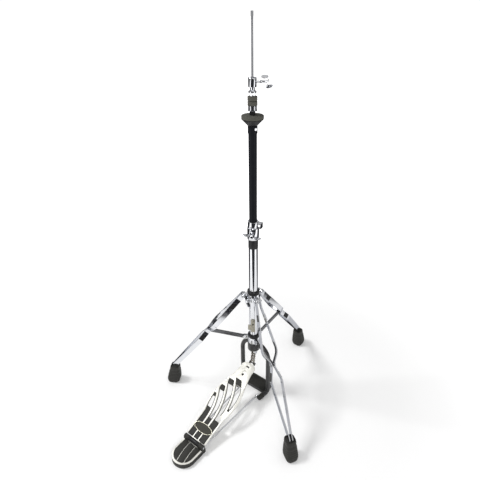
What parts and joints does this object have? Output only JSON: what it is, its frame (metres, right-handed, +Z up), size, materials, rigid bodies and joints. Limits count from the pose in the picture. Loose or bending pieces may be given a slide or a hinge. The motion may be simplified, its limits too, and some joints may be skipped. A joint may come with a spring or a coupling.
{
  "type": "hi-hat stand",
  "caption": "Hi-hat cymbal stand with chain pedal, folding double-braced tripod, height-adjustable black upper tube, tilting cymbal seat and clutch.",
  "frame": {"origin": "on the tube axis at floor level, in the underside of the base plate", "axes": "+Z up along the tubes and pull rod; the pedal points to -Y; +X to the right for a player"},
  "size_m": [0.5518, 0.69, 1.179],
  "materials": {
    "chrome": "polished chrome plate",
    "steel": "plain zinc-plated steel",
    "black_tube": "gloss black paint",
    "black_plastic": "moulded black nylon",
    "felt": "dense grey felt",
    "rubber": "matt moulded rubber",
    "ivory": "pale cast metal, satin",
    "badge": "plain dark oval plate, no lettering"
  },
  "bodies": {
    "base": {"lower_tube": "chrome", "tube_sleeve": "black_plastic", "height_clamp": "chrome", "frame_yoke": "black_tube", "frame_post_left": "black_tube", "frame_post_right": "black_tube", "base_plate": "black_tube", "base_mat": "rubber", "frame_tips": "rubber", "radius_rods": "chrome", "frame_screws": "chrome", "heel_plate": "ivory", "heel_inlay": "rubber", "base_pins": "chrome", "lower_collar": "chrome", "lower_collar_ring": "black_plastic", "return_spring": "steel", "rod_guide": "black_plastic"},
    "height_bolt": {"height_wing_bolt": "chrome"},
    "tension": {"tension_clip": "steel", "spring_seat": "black_plastic"},
    "collar": {"upper_collar": "chrome", "upper_collar_ring": "black_plastic", "leg_pins": "chrome"},
    "collar_bolt": {"collar_wing_bolt": "chrome"},
    "rod": {"upper_pull_rod": "chrome", "lower_pull_rod": "steel", "rod_coupler": "steel", "chain_clevis": "chrome"},
    "chain": {"chain": "steel"},
    "pedal": {"footboard": "ivory", "footboard_inlays": "rubber", "badge_plate": "badge", "toe_bracket": "black_tube"},
    "upper": {"upper_tube": "black_tube", "upper_tube_bush": "black_plastic", "memory_lock": "chrome", "seat_housing": "black_tube", "tilt_pins": "chrome"},
    "seat": {"seat_cup": "black_plastic", "seat_felt": "felt", "seat_sleeve": "black_plastic"},
    "tilter": {"tilt_screw": "chrome"},
    "clutch": {"clutch_body": "chrome", "clutch_nut": "chrome", "clutch_felts": "felt"},
    "clutch_screw": {"clutch_wing_screw": "chrome"},
    "clutch_nut": {"clutch_lock_nut": "chrome"},
    "leg_right": {"leg_strips_right": "chrome", "leg_pads_right": "black_plastic", "leg_foot_right": "rubber"},
    "strut_right_body": {"strut_right": "chrome"},
    "leg_left": {"leg_strips_left": "chrome", "leg_pads_left": "black_plastic", "leg_foot_left": "rubber"},
    "strut_left_body": {"strut_left": "chrome"},
    "leg_back": {"leg_strips_back": "chrome", "leg_pads_back": "black_plastic", "leg_foot_back": "rubber"},
    "strut_back_body": {"strut_back": "chrome"}
  },
  "joints": [
    {"name": "collar_slide", "type": "slide", "parent": "base", "child": "collar", "axis": [0, 0, 1], "range_m": [0, 0.133]},
    {"name": "collar_bolt_turn", "type": "hinge", "parent": "collar", "child": "collar_bolt", "pos_m": [0, -0.03, 0.395], "axis": [0, -1, 0], "range_deg": [-180, 0]},
    {"name": "height_bolt_turn", "type": "hinge", "parent": "base", "child": "height_bolt", "pos_m": [0.015, -0.02598, 0.6215], "axis": [0.5, -0.866, 0], "range_deg": [-180, 0]},
    {"name": "tension_slide", "type": "slide", "parent": "base", "child": "tension", "axis": [0, 0, 1], "range_m": [0, 0.016]},
    {"name": "height_slide", "type": "slide", "parent": "base", "child": "upper", "axis": [0, 0, 1], "range_m": [0, 0.08]},
    {"name": "pedal_hinge", "type": "hinge", "parent": "base", "child": "pedal", "pos_m": [0, -0.297, 0.025], "axis": [1, 0, 0], "range_deg": [-8.4, 0], "stiffness_Nm_per_rad": 20, "springref_deg": 17.19},
    {"name": "rod_slide", "type": "slide", "parent": "base", "child": "rod", "axis": [0, 0, 1], "range_m": [-0.0429, 0], "deforming": ["return_spring"]},
    {"name": "chain_swing", "type": "hinge", "parent": "rod", "child": "chain", "pos_m": [0, 0, 0.16895], "axis": [1, 0, 0], "range_deg": [0, 13.6]},
    {"name": "seat_tilt", "type": "hinge", "parent": "upper", "child": "seat", "pos_m": [0, 0, 0.915], "axis": [0.3907, 0.9205, 0], "range_deg": [0, 3]},
    {"name": "tilt_screw_turn", "type": "hinge", "parent": "upper", "child": "tilter", "pos_m": [0.01197, -0.00508, 0.917], "axis": [0.9205, -0.3907, 0], "range_deg": [-180, 0]},
    {"name": "clutch_slide", "type": "slide", "parent": "upper", "child": "clutch", "axis": [0, 0, 1], "range_m": [0, 0.03]},
    {"name": "clutch_screw_turn", "type": "hinge", "parent": "clutch", "child": "clutch_screw", "pos_m": [0.01576, 0.01231, 1.0281], "axis": [0.788, 0.6157, 0], "range_deg": [-180, 0]},
    {"name": "clutch_nut_turn", "type": "hinge", "parent": "clutch", "child": "clutch_nut", "pos_m": [0, 0, 0.9665], "axis": [0, 0, 1], "range_deg": [-180, 0]},
    {"name": "leg_fold_right", "type": "hinge", "parent": "collar", "child": "leg_right", "pos_m": [0.02858, -0.0165, 0.398], "axis": [0.5, 0.866, 0], "range_deg": [0, 26]},
    {"name": "strut_fold_right", "type": "hinge", "parent": "base", "child": "strut_right_body", "pos_m": [0.02598, -0.015, 0.231], "axis": [0.5, 0.866, 0], "range_deg": [-63, 0]},
    {"name": "leg_fold_left", "type": "hinge", "parent": "collar", "child": "leg_left", "pos_m": [-0.02858, -0.0165, 0.398], "axis": [0.5, -0.866, 0], "range_deg": [0, 26]},
    {"name": "strut_fold_left", "type": "hinge", "parent": "base", "child": "strut_left_body", "pos_m": [-0.02598, -0.015, 0.231], "axis": [0.5, -0.866, 0], "range_deg": [-63, 0]},
    {"name": "leg_fold_back", "type": "hinge", "parent": "collar", "child": "leg_back", "pos_m": [0, 0.033, 0.398], "axis": [-1, 0, 0], "range_deg": [0, 26]},
    {"name": "strut_fold_back", "type": "hinge", "parent": "base", "child": "strut_back_body", "pos_m": [0, 0.03, 0.231], "axis": [-1, 0, 0], "range_deg": [-63, 0]}
  ],
  "couplings": [
    {"joint": "rod_slide", "follows": "pedal_hinge", "m_per_rad": 0.29112},
    {"joint": "chain_swing", "follows": "pedal_hinge", "ratio": -1.5912},
    {"joint": "leg_fold_right", "follows": "collar_slide", "rad_per_m": 3.3896},
    {"joint": "strut_fold_right", "follows": "collar_slide", "rad_per_m": -8.2319},
    {"joint": "leg_fold_left", "follows": "collar_slide", "rad_per_m": 3.3896},
    {"joint": "strut_fold_left", "follows": "collar_slide", "rad_per_m": -8.2319},
    {"joint": "leg_fold_back", "follows": "collar_slide", "rad_per_m": 3.3896},
    {"joint": "strut_fold_back", "follows": "collar_slide", "rad_per_m": -8.2319}
  ]
}
